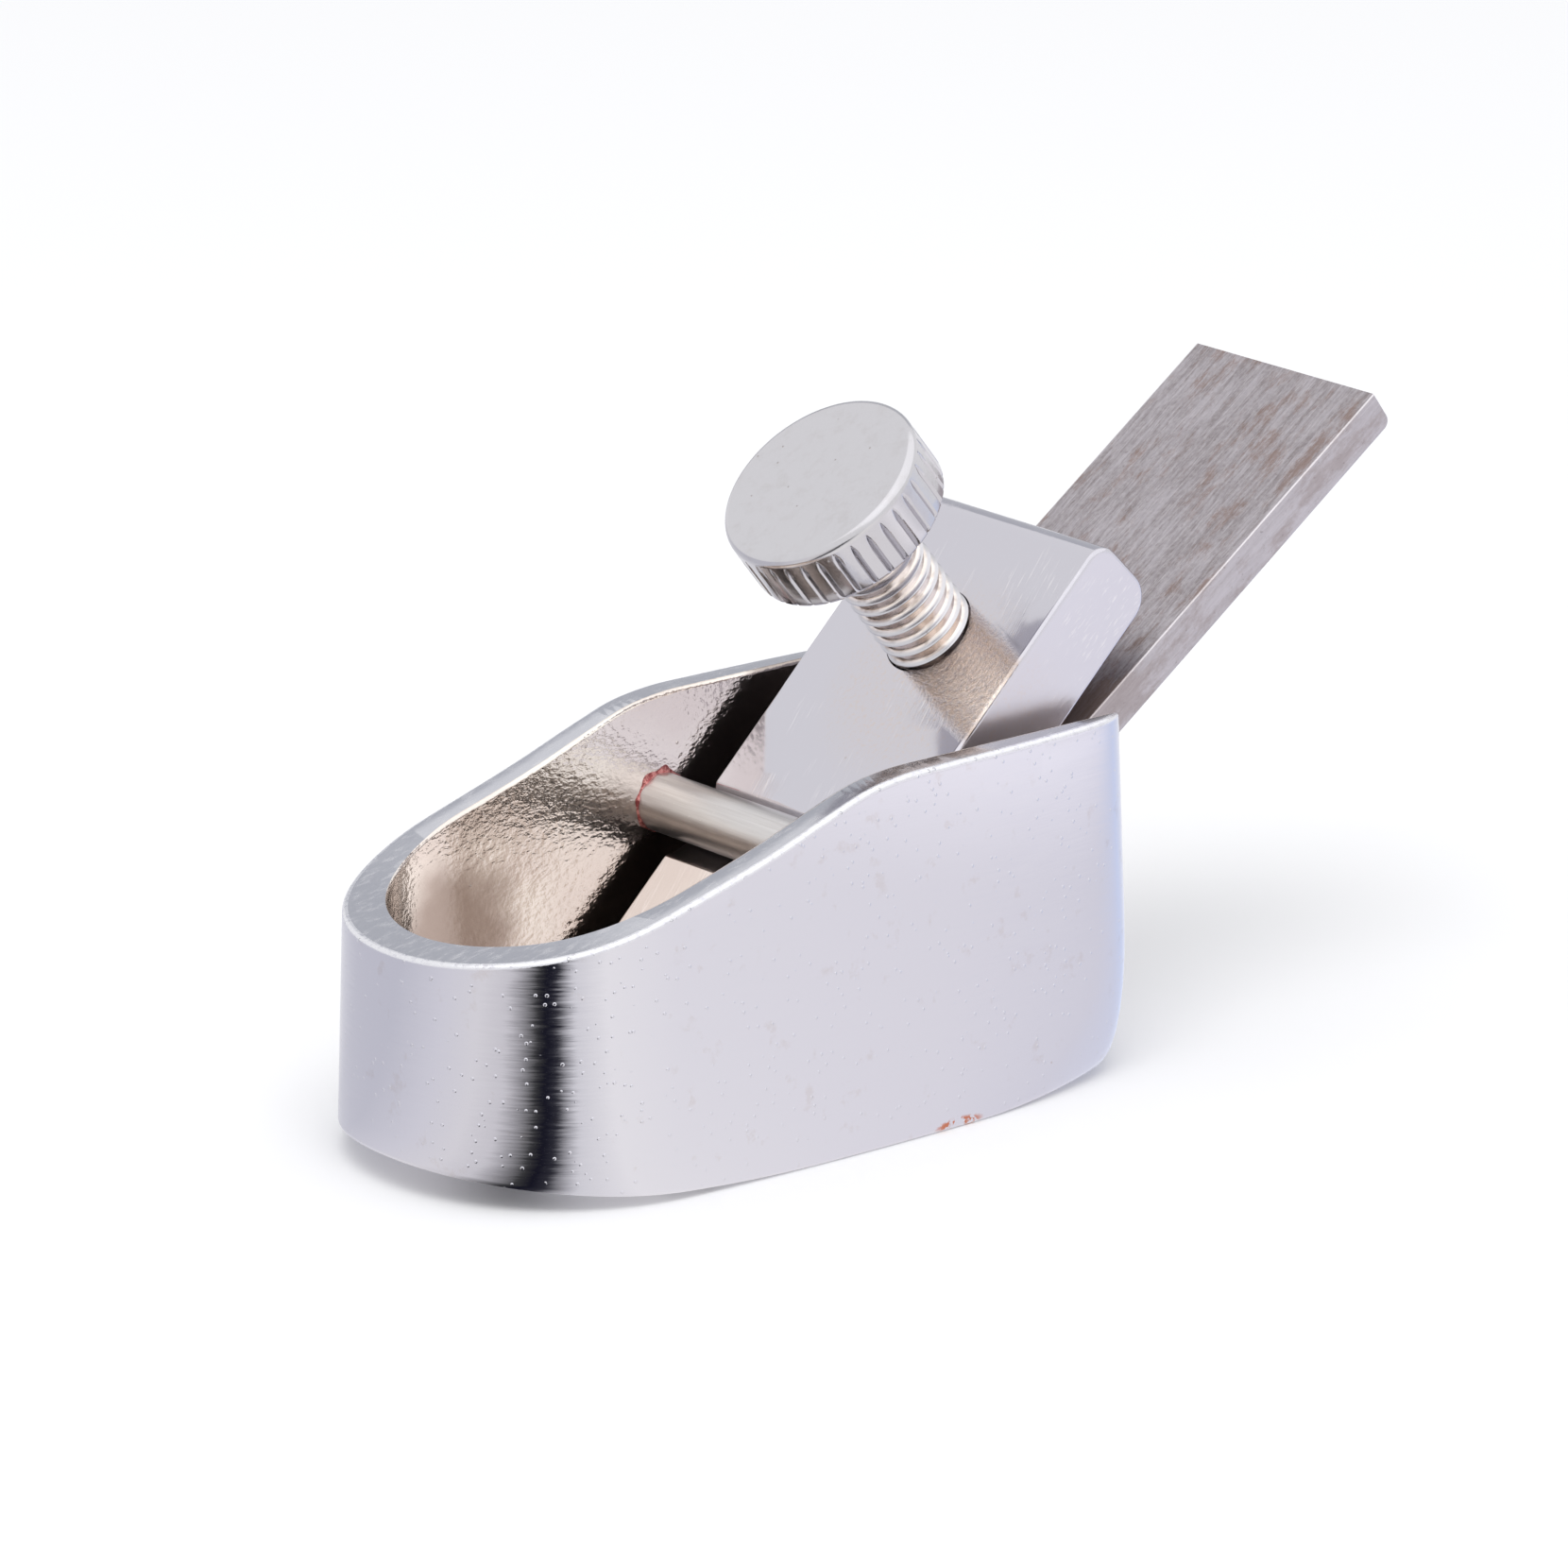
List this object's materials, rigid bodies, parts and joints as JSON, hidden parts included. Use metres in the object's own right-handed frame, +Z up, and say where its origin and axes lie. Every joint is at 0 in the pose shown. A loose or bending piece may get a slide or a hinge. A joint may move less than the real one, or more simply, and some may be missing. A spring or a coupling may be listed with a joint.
{
  "type": "finger plane",
  "caption": "Small plated metal hand plane: boat-shaped body, inclined cutting iron, rocking lever cap under a cross pin and a knurled thumbscrew that wedges it.",
  "frame": {"origin": "on the flat land of the sole, about half way along the body and in its middle plane", "axes": "+X towards the heel, along the length; +Y across; +Z up out of the pocket"},
  "size_m": [0.0529, 0.0198, 0.0303],
  "materials": {
    "plated_body": "bright nickel plating over a casting, ground on the outside and rough cast within, worn along the rim",
    "plated_cap": "bright plating over a ground face with fine grinding lines",
    "plated_screw": "bright plating, knurled edge",
    "pin_steel": "satin drawn steel with scratches",
    "iron_steel": "ground tool steel with lengthwise lines and light rust spots"
  },
  "bodies": {
    "plane": {"plane_body": "plated_body", "cross_pin": "pin_steel"},
    "iron": {"iron": "iron_steel"},
    "lever_cap": {"lever_cap": "plated_cap"},
    "thumbscrew_shank": {"thumbscrew_shank": "plated_screw"},
    "thumbscrew_head": {"thumbscrew_head": "plated_screw"}
  },
  "joints": [
    {"name": "iron_slide", "type": "slide", "parent": "plane", "child": "iron", "axis": [0.8151, 0, 0.5793], "range_m": [-0.0003, 0.018]},
    {"name": "cap_rock", "type": "hinge", "parent": "plane", "child": "lever_cap", "pos_m": [0.00176, 0, 0.01146], "axis": [0, 1, 0], "range_deg": [0, 3.51]},
    {"name": "screw_travel", "type": "slide", "parent": "lever_cap", "child": "thumbscrew_shank", "axis": [-0.6239, 0, 0.7815], "range_m": [0, 0.0035]},
    {"name": "thumbscrew_turn", "type": "hinge", "parent": "thumbscrew_shank", "child": "thumbscrew_head", "pos_m": [0.01103, 0, 0.01935], "axis": [-0.6239, 0, 0.7815], "range_deg": [0, 1801]}
  ],
  "couplings": [
    {"joint": "thumbscrew_turn", "follows": "screw_travel", "rad_per_m": 8976},
    {"joint": "cap_rock", "follows": "screw_travel", "rad_per_m": 17.453}
  ]
}
